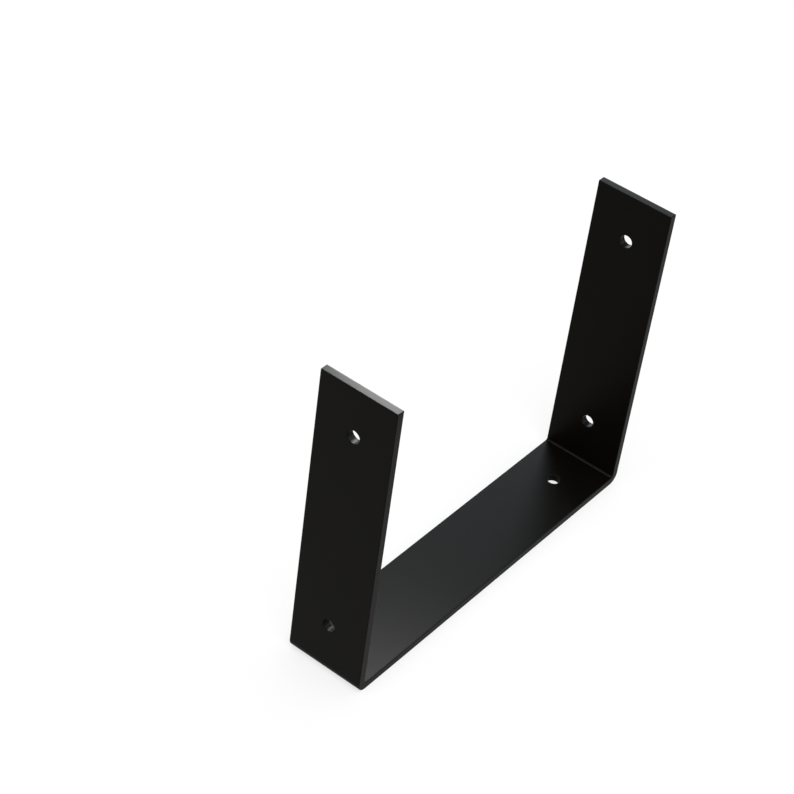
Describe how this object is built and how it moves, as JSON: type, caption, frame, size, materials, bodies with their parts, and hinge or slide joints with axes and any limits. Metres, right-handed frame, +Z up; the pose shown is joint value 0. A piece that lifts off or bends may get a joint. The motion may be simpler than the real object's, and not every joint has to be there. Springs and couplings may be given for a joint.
{
  "type": "u bracket",
  "caption": "U bracket folded from one flat steel bar, with two upright legs on a straight base and plain round screw holes in all three sides.",
  "frame": {"origin": "middle of the base's underside", "axes": "+X along the base, +Y across the bar, +Z up along the legs"},
  "size_m": [0.25, 0.05, 0.2],
  "materials": {
    "powder_coat": "smooth satin black powder coat"
  },
  "bodies": {
    "root": {"u_bracket": "powder_coat"}
  },
  "joints": []
}
